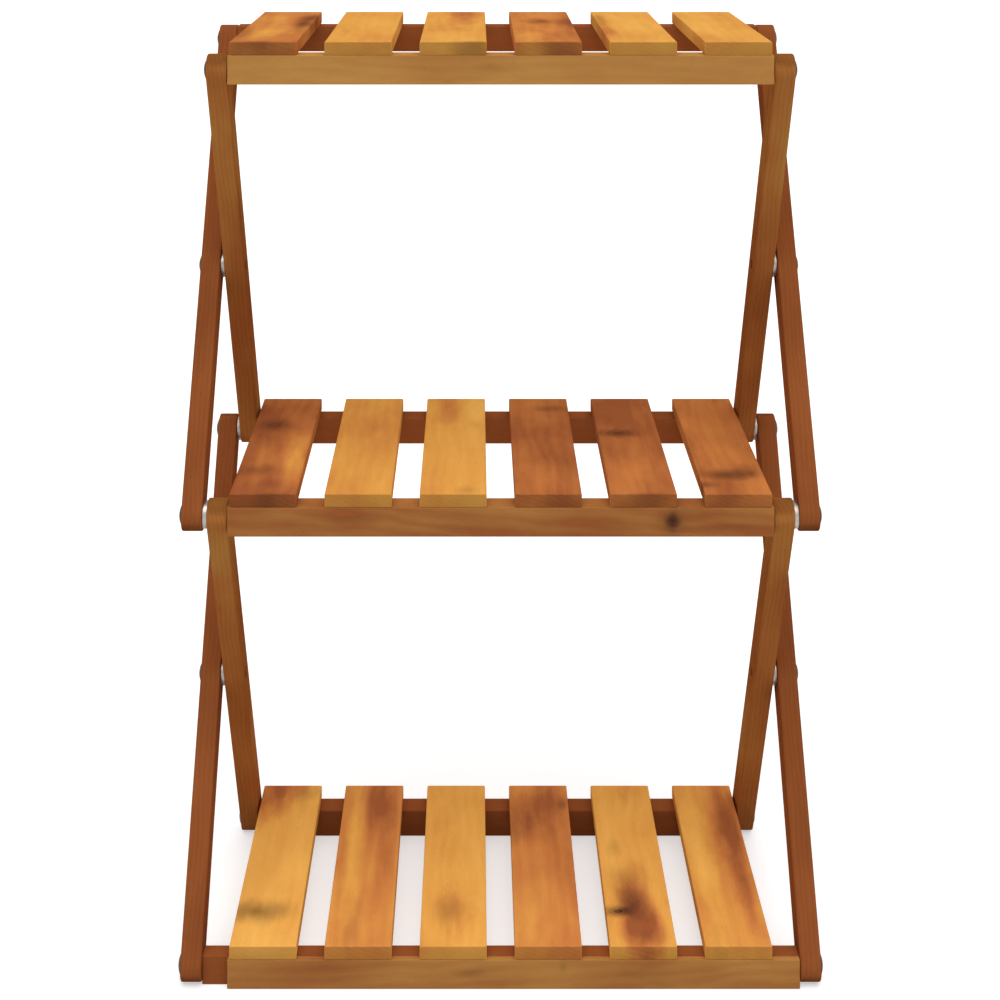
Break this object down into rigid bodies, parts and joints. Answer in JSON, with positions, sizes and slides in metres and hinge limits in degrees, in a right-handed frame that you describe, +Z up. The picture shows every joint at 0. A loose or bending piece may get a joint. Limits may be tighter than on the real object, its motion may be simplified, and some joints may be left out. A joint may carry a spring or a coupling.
{
  "type": "folding tiered plant stand",
  "caption": "Folding wooden plant stand with slatted shelves on two stacked pairs of crossed legs.",
  "frame": {"origin": "on the floor, midway between the left and right legs and between front and back", "axes": "+X to the right across the stand, +Y from front to back, +Z up"},
  "size_m": [0.5742, 0.2626, 0.838],
  "materials": {
    "outer_bar_wood": "satin oil",
    "inner_bar_wood": "satin oil",
    "rail_wood": "satin oil",
    "slat_wood": "satin oil",
    "bolt_steel": "satin, darkened",
    "washer_steel": "satin, zinc plated",
    "insert_brass": "machined",
    "screw_steel": "satin, zinc plated"
  },
  "bodies": {
    "lower_outer_frame": {"lower_outer_bar_left": "outer_bar_wood", "lower_outer_bar_right": "outer_bar_wood", "front_foot_rail": "rail_wood", "foot_front_bolts": "bolt_steel", "foot_front_inserts": "insert_brass"},
    "lower_inner_frame": {"lower_inner_bar_left": "inner_bar_wood", "lower_inner_bar_right": "inner_bar_wood", "lower_cross_bolts": "bolt_steel", "lower_cross_inserts": "insert_brass", "lower_cross_washers": "washer_steel"},
    "upper_outer_frame": {"upper_outer_bar_left": "outer_bar_wood", "upper_outer_bar_right": "outer_bar_wood", "top_back_rail": "rail_wood", "top_back_bolts": "bolt_steel", "top_back_inserts": "insert_brass"},
    "upper_inner_frame": {"upper_inner_bar_left": "inner_bar_wood", "upper_inner_bar_right": "inner_bar_wood", "middle_back_rail": "rail_wood", "middle_back_bolts": "bolt_steel", "middle_back_inserts": "insert_brass", "middle_back_washers": "washer_steel", "upper_cross_bolts": "bolt_steel", "upper_cross_inserts": "insert_brass", "upper_cross_washers": "washer_steel"},
    "middle_shelf": {"middle_front_rail": "rail_wood", "middle_slat_1": "slat_wood", "middle_slat_2": "slat_wood", "middle_slat_3": "slat_wood", "middle_slat_4": "slat_wood", "middle_slat_5": "slat_wood", "middle_slat_6": "slat_wood", "middle_shelf_screws": "screw_steel", "middle_front_bolts": "bolt_steel", "middle_front_inserts": "insert_brass", "middle_front_washers": "washer_steel"},
    "top_front_pins": {"top_front_bolts": "bolt_steel"},
    "top_shelf": {"top_front_rail": "rail_wood", "top_slat_1": "slat_wood", "top_slat_2": "slat_wood", "top_slat_3": "slat_wood", "top_slat_4": "slat_wood", "top_slat_5": "slat_wood", "top_slat_6": "slat_wood", "top_shelf_screws": "screw_steel", "top_front_inserts": "insert_brass"},
    "bottom_shelf": {"bottom_back_rail": "rail_wood", "bottom_front_lip": "rail_wood", "bottom_slat_1": "slat_wood", "bottom_slat_2": "slat_wood", "bottom_slat_3": "slat_wood", "bottom_slat_4": "slat_wood", "bottom_slat_5": "slat_wood", "bottom_slat_6": "slat_wood", "bottom_shelf_screws": "screw_steel", "bottom_lip_pins": "screw_steel", "foot_back_bolts": "bolt_steel", "foot_back_inserts": "insert_brass"}
  },
  "joints": [
    {"name": "fold", "type": "hinge", "parent": "lower_outer_frame", "child": "lower_inner_frame", "pos_m": [0, 0, 0.218], "axis": [-1, 0, 0], "range_deg": [0, 52]},
    {"name": "upper_inner_fold", "type": "hinge", "parent": "lower_outer_frame", "child": "upper_inner_frame", "pos_m": [0, 0.113, 0.4135], "axis": [-1, 0, 0], "range_deg": [0, 52]},
    {"name": "upper_outer_fold", "type": "hinge", "parent": "lower_inner_frame", "child": "upper_outer_frame", "pos_m": [0, -0.113, 0.4135], "axis": [-1, 0, 0], "range_deg": [-52, 0]},
    {"name": "top_shelf_level", "type": "hinge", "parent": "upper_inner_frame", "child": "top_front_pins", "pos_m": [0, -0.11733, 0.812], "axis": [-1, 0, 0], "range_deg": [-52, 0]},
    {"name": "top_shelf_lift", "type": "hinge", "parent": "top_front_pins", "child": "top_shelf", "pos_m": [0, -0.11733, 0.812], "axis": [1, 0, 0], "range_deg": [0, 60]},
    {"name": "middle_shelf_lift", "type": "hinge", "parent": "upper_outer_frame", "child": "middle_shelf", "pos_m": [0, -0.113, 0.4135], "axis": [1, 0, 0], "range_deg": [0, 60]},
    {"name": "bottom_shelf_lift", "type": "hinge", "parent": "lower_inner_frame", "child": "bottom_shelf", "pos_m": [0, 0.11733, 0.015], "axis": [-1, 0, 0], "range_deg": [0, 52]}
  ],
  "couplings": [
    {"joint": "upper_inner_fold", "follows": "fold", "ratio": 1},
    {"joint": "upper_outer_fold", "follows": "fold", "ratio": -1},
    {"joint": "top_shelf_level", "follows": "fold", "ratio": -1}
  ]
}
